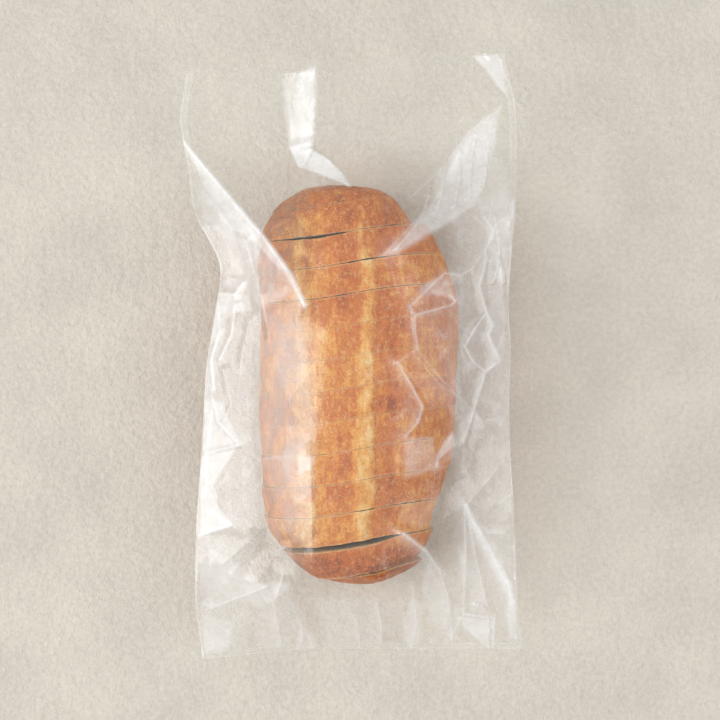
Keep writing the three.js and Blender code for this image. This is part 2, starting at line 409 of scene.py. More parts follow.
def slice_rings(index, form, gap):
    """A slice as rings of points, from the middle of one side round the crust to the other."""
    is_foot, is_mouth = index == 0, index == SLICE_COUNT - 1
    low, high = form.cuts[index], form.cuts[index + 1]
    turn = np.linspace(0, 2 * math.pi, AROUND + 1)[:-1]
    angle = np.append(turn, turn[0])
    if is_foot or is_mouth:
        steps = int((high - low) / HEEL_STEP) + HEEL_EXTRA
        share = np.linspace(0, 1, steps)
        tipward = share**2 if is_foot else 1 - (1 - share) ** 2
        stations = mix(low, high, tipward)
        lean = share if is_foot else 1 - share
        slips = np.full(steps, SIDE_SLIP[index])
    else:
        stations = band_stations(low, high)
        lean = np.ones(len(stations))
        slips = mix(SIDE_SLIP[index], form.bend(stations), BLEND_SLIP)
    edge_open = [CUT_SHARE[max(index - 1, 0)], CUT_SHARE[min(index, len(CUT_SHARE) - 1)]]
    rings = []
    for along, slant, slip in zip(stations, lean, slips):
        ring = form.crust(along, angle, slant, slip)
        facing = form.crust_facing(along, angle, slant, slip)
        near_low = along - low if not is_foot else 1
        near_high = high - along if not is_mouth else 1
        place = ring + np.array([LOAF_X, form.y, SOLE])
        openness = edge_open[0] if near_low < near_high else edge_open[1]
        turned_in = EDGE_SOFT * openness * (1 - smooth_step(min(near_low, near_high), 0, TURN_REACH))
        out = crust_rise(place, form) - turned_in
        fade = np.clip(ring[:, 2:3] / SOLE_FADE, 0, 1)
        ring = ring + facing * (out[:, None] * mix(SOLE_RELIEF, 1, fade))
        if index >= NARROWED:
            across = ring[:, 0] - slip
            ring[:, 0] -= NARROW_SHARE * across * smooth_step(across, *NARROW_FROM_TO)
        rings.append(ring)
    rings = np.array(rings)
    closes = []
    for side, cut, outward, is_tip in ((0, index, -1, is_foot), (-1, index + 1, 1, is_mouth)):
        rim = rings[side]
        along, slant, slip = stations[side], lean[side], slips[side]
        hub = np.array([slip, along + slant * form.drift(slip), HUB_SHARE * form.crest(along / form.half)])
        out = np.linspace(0, 1, CUT_RINGS + 1)[:-1, None, None]
        cap = hub + (rim - hub) * out
        if is_tip:
            wave = TIP_RELIEF[0] * NOISE.layered(cap + 0.2, TIP_RELIEF[1], 2)
            cap[..., 1] = rim[:, 1] * out[..., 0] + hub[1] * (1 - out[..., 0]) + wave * (1 - out[..., 0] ** 4)
        else:
            cap[..., 1] = along + slant * form.drift(cap[..., 0])
            crumb = CRUMB_RELIEF[0] * NOISE.layered(cap + cut, CRUMB_RELIEF[1], 2)
            cap[..., 1] -= outward * (half_gap(cut, cap, form, gap) + np.maximum(crumb, 0))
            reach = np.clip(1 - np.abs(stations - stations[side]) / GAP_REACH, 0, 1)
            rings[..., 1] -= outward * half_gap(cut, rim, form, gap)[None, :] * reach[:, None]
        closes.append(cap)
    return np.concatenate([closes[0], rings, closes[1][::-1]]), len(stations)


def slid(index, x, form):
    """How far a slice has slid: the foot heel and its neighbour have come away, less so at the right."""
    return (form.slide if index < 2 else 0) * (1 - CLOSED_UP * smooth_step(x, *CLOSED_FROM_TO))


def make_slice(index, form, loaf, materials):
    name = SLICE_NAMES[index]
    rings, stations = slice_rings(index, form, loaf.cut_gap)
    rings = rings + np.array([LOAF_X, form.y, SOLE])
    rings[..., 1] += slid(index, rings[..., 0], form)
    shape = grid_of(rings, name)
    is_end = [index == 0, index == SLICE_COUNT - 1]
    shape.faces.ensure_lookup_table()
    for face in shape.faces:
        row = face.index // AROUND
        on_low, on_high = row < CUT_RINGS, row >= CUT_RINGS + stations - 1
        cut = (on_low and not is_end[0]) or (on_high and not is_end[1])
        face.material_index = CRUMB_FACES if cut else CRUST_FACES
        face.smooth = True
    bmesh.ops.remove_doubles(shape, verts=shape.verts, dist=1e-7)
    bmesh.ops.dissolve_degenerate(shape, edges=shape.edges, dist=1e-7)
    bmesh.ops.recalc_face_normals(shape, faces=shape.faces)
    for edge in shape.edges:
        if len(edge.link_faces) == 2:
            edge.smooth = edge.link_faces[0].material_index == edge.link_faces[1].material_index
    piece = finished(shape, name + "_crust", materials)
    paint_slice(piece, index, form)
    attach(piece, "root")
    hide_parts(name)
    return piece


def finished(shape, name, materials):
    """Turns a bmesh into a piece of the scene, with its materials."""
    mesh = bpy.data.meshes.new(name)
    shape.to_mesh(mesh)
    shape.free()
    for material in materials:
        mesh.materials.append(material)
    piece = bpy.data.objects.new(name, mesh)
    bpy.context.collection.objects.link(piece)
    return piece


def corners_of(mesh):
    places = np.empty(len(mesh.vertices) * 3)
    mesh.vertices.foreach_get("co", places)
    return places.reshape(-1, 3)


def store(mesh, name, values):
    mesh.attributes.new(name, "FLOAT", "POINT").data.foreach_set("value", values.astype(np.float32))


def paint_slice(piece, index, form):
    """Stores how dark each point has baked, how near it is to a cut, and the painted shade that dulls the
    crust there.
    """
    place = corners_of(piece.data)
    place[:, 1] -= slid(index, place[:, 0], form)
    along = place[:, 1] - form.y - form.drift(place[:, 0] - LOAF_X)
    torn = np.zeros(len(place))
    for cut in (index, index + 1):
        if 0 < cut < SLICE_COUNT:
            near = np.abs(along - form.cuts[cut])
            flaked = 1 - smooth_step(near, 0.3 * MM, PALE_EDGE)
            torn = np.maximum(torn, flaked * (0.1 + 0.9 * CUT_SHARE[cut - 1]))
    own = 0.05 * math.sin(index * 2.4)
    store(piece.data, "bake", crust_bake(place, form) + own)
    store(piece.data, "torn", torn)
    # painted shade over the left of the crust, which faces the window light
    store(piece.data, "dull", smooth_step(LOAF_X - place[:, 0], *PAINTED_SHADE_FROM_TO))


# ---- The bag ----
# Each long edge of the bag wanders: its x at even steps, from the bag's foot to its mouth.
LEFT_EDGE = MM * np.array(
    [-101, -105, -105.5, -104.4, -102, -100, -98, -92.6, -89.5, -104.8, -110, -116, -111.5]
)
RIGHT_EDGE = MM * np.array(
    [116, 112.5, 111.3, 110.2, 107.9, 107.2, 108.2, 106.8, 109, 112, 112.4, 111.3, 103.7]
)
FOOT_RISE = 7 * MM  # how much further along +Y the foot edge lies at its middle and right than at its left
FOOT_SLOPE = 3  # the rise is complete a third of the way across
MOUTH_DIP = 12 * MM  # how far back the mouth edge lies at its left
MOUTH_GAPE = 6 * MM  # how far the mouth stands open at its middle
MOUTH_ARCH = 1.3  # above 1 the opening is more peaked
BACK_FILM = 0.3 * MM  # the back film's height over the surface it lies on
RISES_FROM = 50 * MM  # how far from the loaf's middle line the back film leaves the surface
RISES_TO = (100 * MM, 106 * MM)  # and where it meets the bag's left and right edges
RISE_POWER = 1.3  # above 1 it leaves the surface gently
FILM_ROOM = 1.7 * MM  # between the smooth loaf and the film: the crust's own relief fits in it
LEAST_ROOM = 1.1 * MM  # of that room, what folds pushed inwards always leave
BESIDE_ROOM = 1.5 * MM  # how far beside the loaf the film is still carried by it
RIM_ROOM, PANEL_ROOM = 0.25 * MM, 0.35 * MM  # between the two films, at the rim and elsewhere
# Where things fade in, from the long edges and from the foot: folds, waves and all that rises at the seam.
FOLD_FADE = (0, 12 * MM), (4 * MM, 16 * MM)
WAVE_FADE = (6 * MM, 30 * MM), (10 * MM, 34 * MM)
SEAM_FADE = (0, 2 * MM), (3 * MM, 8 * MM)
FLAT_MOUTH = 150 * MM, 90 * MM  # the stretch of y over which the waves die down towards the mouth
FLAT_SHARE = 0.12  # what is left of them there
LOOSE_FROM_TO = 1 * MM, 10 * MM  # height of film over what it lies on, from carried to fully loose
WELD_FOLDS = 0.3  # share of the folds that is left at the weld
WAVES = [(0.5, 27, 1.1), (1.9, 35, 1.2), (2.8, 21, 0.8)]  # (heading, spacing and height in mm)
WAVE_WANDER = 5 * MM, 30 * MM  # how far the waves' lines wander, and over what distance
WELD = 4 * MM  # width of the welded strip along the bag's edges
WELD_WHITE = 0.14
WELD_LINE_AND_HIGHLIGHT = 0.5  # whiteness of the line along each edge of the weld: the seal's own line inside, a painted highlight at the bag's edge
FILM_WEIGHT = 0.06  # how fast unsupported film curves down to the floor past the loaf, in 1/mm
WEIGHT_FROM = (100 * MM, 122 * MM)  # the stretch of y over which it starts to do so
DRAW_IN = 0.075  # how far a lifted edge is drawn in towards the loaf, as a share of its lift
FRONT_GRID, BACK_GRID = (226, 400), (66, 110)  # cells across and along
RELAX_STEPS = [(8, 400), (4, 300), (2, 200), (1, 90)]  # coarseness of the grid, passes over it

# Straight ridges that the film is pulled into between the loaf and the bag's edges: (x, y, height),
# in millimetres.
RIDGES = [
    [(-115, 147, 2), (-91, 119, 24), (-57, 78, 60), (-40, 50, 77), (-29, 32, 84.5)],
    [(-26, -60, 84), (-24, -128, 80), (-36, -146, 66), (-55, -163, 44), (-92, -172, 12)],
    [(34, -113, 81), (49, -128, 64), (66, -144, 44), (68, -170, 20), (70, -196, 3)],
    [(45, -40, 80), (75, -97, 46), (91, -127, 24), (106, -165, 6)],
    [(30, -4, 84.5), (42, 4, 81.5), (41, 26, 81.5), (60, 34, 68), (88, 69, 42)],
]
# Folds in the front film: how far the film runs down to its left and to its right, how white it is along
# the fold (a painted highlight), and (x, y, how far it stands up). All in millimetres. Standing up below 0
# makes a valley.
FOLDS = [
    (1.6, 2.6, 1.0, [(-115, 147, 1.6), (-91, 119, 2.4), (-57, 78, 2.6), (-38, 52, 2.2), (-29, 32, 1.2)]),
    (10, 24, 0.1, [(-29, 32, 1.0), (-23, 0, 1.0), (-22, -47, 1.0), (-23, -91, 1.2), (-24, -128, 1.0)]),
    (2.5, 5, 0.1, [(-69, 187, 0.5), (-62, 153, 0.4)]),
    (4, 2, 0.1, [(-56, 173, 0.5), (-62, 153, 0.4)]),
    (10, 3, 0.35, [(103, 170, 1.5), (80, 152, 2.5), (64, 130, 2.6), (39, 104, 2.0)]),
    (3, 4, 0.35, [(74, 140, 1.4), (66, 120, 2.0), (52, 98, 2.0), (20, 64, 1.2)]),
    (3, 3, 0.2, [(108, 117, 0.5), (90, 102, 1.6), (75, 91, 1.2)]),
    (2, 3, 0.6, [(88, 92, 1.2), (94, 83, 1.6), (88, 69, 1.8), (89, 64, 1.8), (84, 46, 1.8), (89, 29, 2.0),
                 (93, 20, 1.6)]),
    (2, 3, 0.75, [(93, 20, 1.4), (90, 14, 1.6), (98, -3, 1.4)]),
    (2, 3, 0.6, [(98, -3, 1.4), (88, -10, 1.6)]),
    (2, 3, 0.55, [(88, -10, 1.6), (80, -4, 1.6), (74, 6, 1.8), (80, 17, 1.6), (89, 29, 2)]),
    (2, 3, 0.5, [(88, -10, 1.6), (82, -30, 1.4), (73, -56, 1.6)]),
    (2, 2, 0.3, [(94, 104, 0.8), (90, 84, 1.2), (98, 60, 1.2), (100, 40, 0.8)]),
    (3, 3, 0.4, [(88, 70, 1.5), (79, 57, 2.0), (72, 53, 2.0), (61, 54, 2.2), (38, 32, 1.6)]),
    (3, 3, 0.5, [(38, 32, 2.0), (41, 26, 2.0), (65, 33, 1.6), (68, 36, 1.4), (64, 40, 0.8)]),
    (1.6, 4, 0.4, [(41, 26, 2.0), (41, 16, 1.8), (43, 4, 1.4)]),
    (4, 3, 0.28, [(42, 4, 1.6), (60, -16, 1.0), (72, -28, 1.0)]),
    (1.6, 4, 0.55, [(30, -4, 1.6), (36, -14, 2.0), (46, -32, 2.2), (43, -42, 1.8), (35, -51, 1.0)]),
    (3, 6, 0.28, [(30, -4, 1.2), (39, 3, 1.4), (58, -18, 1.2), (74, -29, 1.4), (90, -46, 1.0)]),
    (6, 3, 0.4, [(75, -97, 2.0), (101, -68, 1.0)]),
    (2, 7, 1.0, [(75, -97, 2.2), (80, -107, 2.6), (92, -127, 2.6), (104, -150, 2.0), (110, -178, 1.4)]),
    (2.5, 5, 0.65, [(74, -97, 2.0), (75, -123, 2.2), (75, -172, 1.6)]),
    (2.5, 6, 0.6, [(75, -97, 2.0), (83, -137, 1.8), (93, -176, 1.2)]),
    (2, 5, 0.75, [(34, -113, 1.6), (49, -126, 2.0)]),
    (2.5, 6, 0.65, [(49, -126, 2.0), (58, -140, 2.0), (64, -158, 2.0), (68, -191, 1.4)]),
    (2, 2, 0.5, [(68, -188, 1.4), (75, -172, 1.4)]),
    (3, 8, 0.4, [(49, -128, 1.6), (71, -152, 1.0)]),
    (2, 3, 0.7, [(75, -172, 1.4), (96, -175, 1.2), (96, -200, 1.0)]),
    (5, 2, 0.6, [(-92, -26, 1.6), (-87, -43, 2.2), (-73, -58, 2.0)]),
    (2, 6, 0.6, [(-73, -58, 2.0), (-96, -64, 1.2)]),
    (4, 4, 0.6, [(-92, -101, 1.0), (-78, -110, 2.4), (-101, -118, 1.0)]),
    (8, 3, 0.2, [(-92, -84, 1.4), (-78, -110, 2.0)]),
    (5, 3, 0.15, [(-78, -145, 1.4), (-55, -150, 1.6)]),
    (6, 3, 0.5, [(-55, -150, 1.6), (-72, -158, 1.6), (-97, -169, 1.0)]),
    (4, 3, 0.15, [(-97, -169, 1.0), (-73, -177, 1.2), (-62, -170, 0.8)]),
    (6, 6, 0.5, [(-44, -142, 2.0), (-51, -162, 1.6), (-48, -196, 1.0)]),
    (3, 3, 0.5, [(-33, -176, 1.8), (-33, -190, 1.6), (-36, -200, 1.0)]),
    (2, 2, 0.3, [(-22, -188, 0.6), (-28, -203, 1.2)]),
    (3, 4, 0.45, [(17, -161, 1.6), (20, -180, 1.4), (20, -200, 0.8)]),
    (4, 3, 0.35, [(-6, -160, 1.0), (4, -176, 1.4), (6, -198, 0.8)]),
    (5, 3, 0.45, [(40, -150, 1.2), (44, -178, 1.2), (40, -200, 0.6)]),
    (3, 6, 0.3, [(-69, 76, 1.5), (-57, 36, 1.8), (-53, 14, 1.0)]),
    (4, 2.5, 0.7, [(-92, 42, 1.4), (-76, 40, 1.8), (-70, 48, 1.2)]),
    (2.5, 3, 0.7, [(-88, 36, 1.6), (-86, 18, 1.8), (-92, -2, 1.6), (-90, -22, 1.2)]),
    (3, 3, 0.6, [(-76, 34, 1.2), (-78, 14, 1.6), (-86, -2, 1.4)]),
    (3, 2, 0.2, [(-66, 24, 0.8), (-70, 6, 1.0), (-72, -10, 0.6)]),
    (3, 2, 0.6, [(-91, -30, 1.0), (-94, -60, 1.4), (-96, -92, 1.4)]),
    (2, 3, 0.3, [(-100, 112, 1.6), (-86, 96, 1.8), (-78, 84, 0.8)]),
    (3, 3, 0.2, [(-84, -8, 1.0), (-78, -30, 1.4), (-86, -50, 1.2)]),
    (4, 3, 0.15, [(-70, -90, 0.8), (-66, -120, 1.2), (-84, -136, 1.0)]),
]
# Flaps of film that lie tilted, each a strip along its middle: (x, y, half width, how far its raised
# edge stands up), in millimetres. The right edge is the raised one, and drops straight back.
FLAPS = [
    [(-35, 205, 12, 3.2), (-34, 180, 11, 3.6), (-33, 155, 9, 3.6), (-33, 140, 8, 3), (-34, 130, 4, 1)],
    [(-28, 136, 5.0, 3.0), (-20, 128, 7, 8.0), (-9, 119, 5, 6.0), (0, 110, 1.0, 1.0)],
    [(94, 200, 8, 2.8), (104, 183, 3, 1.0)],
    [(92, 158, 3, 1.2), (89, 138, 4.5, 2.4), (86, 115, 4, 1.6)],
    [(82, 150, 3, 1.4), (78, 132, 4.5, 2.6), (76, 108, 4, 1.6)],
    [(72, 138, 3, 1.4), (70, 122, 4.5, 2.6), (66, 102, 4, 2.0)],
    [(62, 128, 2.5, 1.6), (58, 114, 4.5, 3.0), (54, 97, 4, 2.4)],
    [(50, 106, 2.5, 1.6), (42, 92, 5, 3.0), (28, 70, 3, 1.4)],
    [(83, -174, 10, 2.6), (86, -190, 8, 2.2), (90, -200, 5, 1.2)],
    [(104, -150, 2, 0.8), (110, -175, 4, 2.0), (113, -194, 3, 1.4)],
    [(93, 92, 3, 1.0), (95, 66, 4, 1.8), (92, 50, 3, 1.2)],
    [(97, 62, 2.5, 1.4), (99, 50, 2.5, 1.4)],
]
# Where crumpling has left the film whitish, and painted glare where the film mirrors the window: (whiteness,
# how soft its edge is, outline), in millimetres.
WHITE_AND_GLARE_PATCHES = [
    (0.42, 1.2, [(-47, 188), (-24, 196), (-25, 166), (-27, 142), (-42, 142), (-45, 166)]),
    (0.5, 3, [(-36, 192), (-24, 196), (-25, 166), (-27, 142), (-34, 142), (-34, 166)]),
    (0.95, 0.8, [(-42, 142), (-27, 146), (-27, 141), (-15, 133), (-4, 120), (-1, 110), (-17, 119),
                 (-36, 128)]),
    (0.24, 7, [(66, 92), (104, 112), (106, -60), (106, -160), (76, -110), (66, -60), (66, 10)]),
    (0.65, 0.8, [(82, 204), (102, 205), (105, 179), (108, 174), (99, 184), (91, 195)]),
    (0.6, 2.5, [(100, 167), (88, 160), (70, 139), (64, 124), (56, 102), (50, 95), (32, 75), (22, 65),
                (30, 66), (52, 80), (68, 90), (82, 100), (88, 114), (95, 136), (99, 156)]),
    (0.25, 4, [(96, 150), (106, 126), (107, 100), (103, 66), (98, 50), (92, 64), (92, 92), (84, 100)]),
    (0.35, 1.5, [(60, 128), (56, 118), (55, 103), (61, 110), (65, 118)]),
    (0.3, 1.5, [(72, 138), (67, 126), (67, 117), (70, 121), (75, 133), (84, 143), (79, 145)]),
    (0.12, 3, [(60, 53), (42, 44), (38, 36), (41, 26), (42, 4), (72, -26), (66, 0), (66, 32)]),
    (0.22, 1.2, [(60, 53), (44, 44), (43, 36), (54, 40), (60, 39), (66, 36), (64, 48)]),
    (0.26, 2, [(34, -51), (35, -78), (41, -77), (57, -71), (52, -52)]),
    (0.12, 4, [(-64, 28), (-36, 34), (-27, 0), (-24, -60), (-25, -104), (-40, -112), (-56, -70),
               (-60, -20)]),
    (0.13, 2, [(-48, 20), (-30, 22), (-28, -12), (-40, -30), (-50, -4)]),
    (0.16, 2, [(-40, -44), (-26, -50), (-26, -88), (-36, -96), (-44, -70)]),
    (0.5, 1.5, [(-115, 145), (-101, 132), (-80, 108), (-58, 79), (-42, 59), (-29, 33), (-33, 43), (-62, 74),
                (-78, 84), (-96, 109), (-104, 126)]),
    (0.2, 4, [(-102, 60), (-64, 40), (-62, -120), (-70, -196), (-100, -200), (-100, -60)]),
    (0.5, 1.2, [(61, -54), (66, -49), (68, -58), (62, -62), (57, -67), (55, -73), (55, -64)]),
    (0.6, 1.0, [(72, -174), (95, -176), (94, -200), (85, -191), (76, -183)]),
    (0.55, 1.2, [(105, -158), (111, -165), (113, -192), (107, -190), (104, -172)]),
    (0.35, 1.5, [(75, -98), (82, -108), (92, -126), (104, -150), (107, -168), (98, -148), (84, -122),
                 (77, -110)]),
    (0.2, 1.5, [(66, -165), (67, -190), (73, -176), (72, -166)]),
    (0.5, 1.0, [(99, 60), (101, 56), (100, 48), (96, 52)]),
    (0.5, 0.8, [(106, 103), (109, 105), (108, 90), (105, 92)]),
    (0.3, 1.2, [(88, -42), (98, -39), (99, -46), (93, -43)]),
    (0.12, 3, [(90, 32), (103, 32), (104, -66), (98, -66), (100, -44), (96, -24), (98, -4), (92, 12)]),
    (0.4, 1.5, [(-92, 40), (-84, 42), (-66, 40), (-64, 30), (-74, 29), (-82, 24), (-84, 14), (-92, 8),
                (-96, 12)]),
    (0.4, 1.2, [(-98, 6), (-94, 8), (-96, -12), (-99, -18)]),
    (0.34, 1.5, [(-98, -28), (-84, -30), (-73, -56), (-99, -62)]),
    (0.42, 1.5, [(-100, -66), (-74, -58), (-90, -84), (-86, -100), (-78, -110), (-99, -117)]),
    (0.25, 2, [(-92, -126), (-99, -140), (-98, -158), (-84, -160), (-56, -150), (-74, -136)]),
    (0.5, 1.2, [(-98, -161), (-91, -159), (-92, -167), (-99, -165)]),
    (0.45, 1.5, [(-34, -63), (-23, -64), (-25, -72), (-33, -75)]),
    (0.24, 2, [(-72, -150), (-40, -146), (-34, -176), (-44, -198), (-66, -198), (-62, -170)]),
    (0.4, 1.5, [(-34, -178), (-27, -186), (-24, -200), (-38, -200)]),
    (0.2, 2, [(-24, -160), (12, -158), (22, -180), (18, -200), (-14, -200), (-20, -180)]),
    (0.32, 1.5, [(40, -160), (48, -164), (46, -196), (38, -200), (34, -180)]),
    (0.26, 2, [(50, -134), (62, -152), (66, -186), (52, -178), (46, -152)]),
    (0.26, 2, [(70, -124), (82, -142), (92, -172), (80, -172), (74, -150)]),
    (0.3, 1.5, [(-100, -172), (-78, -178), (-84, -200), (-100, -202)]),
    (0.32, 3, [(-103, 118), (-98, 90), (-84, 76), (-80, 60), (-84, 46), (-66, 40), (-58, 30), (-34, 42),
               (-42, 54), (-62, 82), (-88, 114)]),
]
# Where the film is crumpled at random: x and y ranges in millimetres, how many creases, their height and
# their whiteness, a painted highlight.
CRUMPLES = [
    ((66, 108), (-170, 160), 90, 0.55, 0.32),
    ((20, 100), (60, 170), 26, 0.35, 0.12),
    ((-103, -60), (-190, 90), 60, 0.55, 0.28),
    ((-100, 60), (110, 198), 16, 0.2, 0.05),
    ((-90, 100), (-202, -150), 50, 0.45, 0.3),
    ((20, 60), (-120, 60), 18, 0.35, 0.15),
]
FOLD_LINE = 0.85  # half width of the painted highlight along a sharp fold, in millimetres
CREASE_LENGTH = (5, 20)  # of each of a random crease's two halves, in millimetres


def edge_line(values, share):
    """A smooth line through evenly spaced values (Catmull-Rom)."""
    place = np.clip(share, 0, 1) * (len(values) - 1)
    start = np.minimum(place.astype(int), len(values) - 2)
    t = place - start
    before, here, there, after = (
        values[np.clip(start + step, 0, len(values) - 1)] for step in (-1, 0, 1, 2)
    )
    bend, tilt = (there - before) / 2, (after - here) / 2
    return (
        here + bend * t + (3 * (there - here) - 2 * bend - tilt) * t**2
        + (2 * (here - there) + bend + tilt) * t**3
    )


def film_plan(cells, bag, form):
    """Plan positions of a film panel's grid, with the panel's edges on the bag's outline."""
    across, along = np.meshgrid(np.linspace(0, 1, cells[0] + 1), np.linspace(0, 1, cells[1] + 1))
    drawn = DRAW_IN * edge_lift(mix(BAG_LOW.y, BAG_HIGH.y, along), bag, form)
    left = np.maximum(BAG_LOW.x, edge_line(LEFT_EDGE, along) + drawn)
    right = np.minimum(BAG_HIGH.x, edge_line(RIGHT_EDGE, along) - drawn)
    foot = BAG_LOW.y + FOOT_RISE * np.minimum(1, across * FOOT_SLOPE)
    mouth = BAG_HIGH.y - MOUTH_DIP * (1 - across) ** 2
    return mix(left, right, across), mix(foot, mouth, along), across, along


def edge_lift(y, bag, form):
    """How high the bag's long edges ride: the film is pulled round the loaf along its sides."""
    from_mouth = smooth_step(form.y + form.half + 34 * MM - y, 0, 60 * MM)
    from_foot = smooth_step(y - BAG_LOW.y, 6 * MM, 60 * MM)
    return bag.edge_lift * from_mouth * from_foot


def back_height(x, y, bag, form):
    """The back film lies flat under the loaf and rises from beside it to the bag's edges."""
    out = np.abs(x - LOAF_X - form.bend(y - form.y)) - RISES_FROM
    run = np.where(x < LOAF_X, *RISES_TO) - RISES_FROM
    return BACK_FILM + edge_lift(y, bag, form) * np.clip(out / run, 0, 1.05) ** RISE_POWER


def resample(grid, rows, columns):
    """A grid of numbers at another fineness."""
    for count in (columns, rows):
        old, new = np.linspace(0, 1, grid.shape[1]), np.linspace(0, 1, count)
        grid = np.array([np.interp(new, old, row) for row in grid]).T
    return grid


def held_up(x, y, cell):
    """Heights along the straight ridges that the film is pulled into, and 0 away from them."""
    held = np.zeros(x.shape)
    for points in RIDGES:
        away, _side, values = nearest_on(points, x / MM, y / MM)
        held = np.maximum(held, np.where(away * MM < cell * 0.75, values[..., 0] * MM, 0))
    return held


def pulled_tight(x, y, under, rim):
    """Film pinned at its rim and pulled tight over what is under it, from a coarse grid to the full one."""
    rows, columns = under.shape
    cell = (y[-1, 0] - y[0, 0]) / (rows - 1)
    height = None
    for coarse, passes in RELAX_STEPS:
        shape = (rows - 1) // coarse + 1, (columns - 1) // coarse + 1
        low, edge = resample(under, *shape), resample(rim, *shape)
        low = np.maximum(low, held_up(resample(x, *shape), resample(y, *shape), cell * coarse))
        weigh = smooth_step(resample(y, *shape), *WEIGHT_FROM) * FILM_WEIGHT / MM * (cell * coarse) ** 2 / 4
        height = np.maximum(low, edge) if height is None else resample(height, *shape)
        for side in (np.s_[0, :], np.s_[-1, :], np.s_[:, 0], np.s_[:, -1]):
            height[side] = edge[side]
        inner = np.s_[1:-1, 1:-1]
        for _ in range(passes):
            mean = (height[:-2, 1:-1] + height[2:, 1:-1] + height[1:-1, :-2] + height[1:-1, 2:]) / 4
            height[inner] = np.maximum(low[inner], mean - weigh[inner])
    return height


def nearest_on(points, x, y):
    """For a line through points in plan: the side and distance of each (x, y), and the value there.

    Each point is (x, y, values...). The distance is positive to the line's right, looking along it.
    """
    points = np.array(points, float)
    best = np.full(x.shape, np.inf)
    side = np.zeros(x.shape)
    values = np.zeros(x.shape + (points.shape[1] - 2,))
    for start, end in zip(points[:-1], points[1:]):
        run = end[:2] - start[:2]
        length = np.hypot(*run)
        share = np.clip(((x - start[0]) * run[0] + (y - start[1]) * run[1]) / length**2, 0, 1)
        away = np.hypot(x - start[0] - share * run[0], y - start[1] - share * run[1])
        closer = away < best
        best = np.where(closer, away, best)
        turn = (x - start[0]) * run[1] - (y - start[1]) * run[0]
        side = np.where(closer, np.sign(turn), side)
        values = np.where(closer[..., None], start[2:] + (end[2:] - start[2:]) * share[..., None], values)
    return best, side, values


def random_creases():
    """Short bent creases scattered over the crumpled parts of the film, the same each time."""
    draw = np.random.RandomState(5)
    creases = []
    for (x0, x1), (y0, y1), count, rise, whiteness_and_glare in CRUMPLES:
        for _ in range(count):
            x, y = draw.uniform(x0, x1), draw.uniform(y0, y1)
            heading, length = draw.uniform(0, math.pi), draw.uniform(*CREASE_LENGTH)
            kink = draw.uniform(-0.7, 0.7)
            peak = rise * draw.uniform(0.3, 1.3) * draw.choice([1, 1, -1])
            mid = (x + length * math.cos(heading), y + length * math.sin(heading))
            end = (mid[0] + length * math.cos(heading + kink), mid[1] + length * math.sin(heading + kink))
            reach = draw.uniform(1.4, 4), draw.uniform(1.4, 5)
            creases.append((*reach, whiteness_and_glare * draw.uniform(0, 2), [(x, y, 0), (*mid, peak), (*end, 0)]))
    return creases


def inside_by(outline, x, y):
    """How far each (x, y) is inside an outline, and below 0 outside it."""
    away, _side, _values = nearest_on([(*point, 0) for point in outline + outline[:1]], x, y)
    inside = np.zeros(x.shape, bool)
    for (x0, y0), (x1, y1) in zip(outline, outline[1:] + outline[:1]):
        crosses = (y0 > y) != (y1 > y)
        inside ^= crosses & (x < x0 + (x1 - x0) * (y - y0) / ((y1 - y0) or 1))
    return np.where(inside, away, -away)


def lit_side(away, side, left, right):
    """A painted highlight beside a fold, stronger on its right."""
    return np.where(side < 0, 0.2, 0.55) * np.exp(-away / np.where(side < 0, left, right))


def folded(x, y):
    """How far folds, creases and flaps raise the film, its whiteness and painted glare, and where flaps
    double it.
    """
    x, y = x / MM, y / MM
    crest, rise, white, doubled = (np.zeros(x.shape) for _ in range(4))
    for left, right, whiteness_and_glare, points in FOLDS:
        away, side, values = nearest_on(points, x, y)
        crest = np.maximum(crest, values[..., 0] * np.exp(-away / np.where(side < 0, left, right)))
        white = np.maximum(white, whiteness_and_glare * hump(away, 0, FOLD_LINE * (0.5 + 1.1 * whiteness_and_glare)))
        white = np.maximum(white, whiteness_and_glare * lit_side(away, side, left, right))
    for left, right, whiteness_and_glare, points in random_creases():
        away, side, values = nearest_on(points, x, y)
        rise += values[..., 0] * np.exp(-away / np.where(side < 0, left, right))
        taper = np.abs(values[..., 0]) / max(abs(point[2]) for point in points)
        line = np.maximum(0.6 * hump(away, 0, FOLD_LINE * 0.7), lit_side(away, side, left, right))
        white = np.maximum(white, whiteness_and_glare * taper * line)
    for points in FLAPS:
        away, side, values = nearest_on(points, x, y)
        half, lift = values[..., 0], values[..., 1]
        if points[0][1] > points[-1][1]:
            side = -side
        share = (away * side + half) / (2 * half)
        inside = (share >= 0) & (share <= 1) & (away <= half)
        rise += np.where(inside, lift * share, 0)
        # a painted highlight along the flap's raised edge
        white = np.where(inside & (1 - share < FOLD_LINE / half), np.maximum(white, 0.4), white)
        doubled = np.maximum(doubled, inside)
    # patches of crumple whitening and painted glare
    for whiteness_and_glare, soft, outline in WHITE_AND_GLARE_PATCHES:
        white = 1 - (1 - white) * (1 - whiteness_and_glare * smooth_step(inside_by(outline, x, y), -soft, soft))
    return (crest + rise) * MM, np.clip(white, 0, 1), doubled


def film_sag(x, y):
    """The film's own slack: flat-sided waves a few centimetres across."""
    place = np.stack([x, y, x * 0], axis=-1)
    wander, over = WAVE_WANDER
    bent_x, bent_y = x + wander * NOISE.at(place, over), y + wander * NOISE.at(place + 0.3, over)
    facets = 0
    for number, (turn, scale, rise) in enumerate(WAVES):
        run = (bent_x * math.cos(turn) + bent_y * math.sin(turn)) / (scale * MM) + number * 0.37
        facets = facets + rise * MM * (np.abs((run % 1) - 0.5) * 2 - 0.5)
    return facets


def fade_in(edge, y, fade):
    """0 at the bag's long edges and its foot, and 1 further in."""
    from_side, from_foot = fade
    return smooth_step(edge, *from_side) * smooth_step(y - BAG_LOW.y, *from_foot)


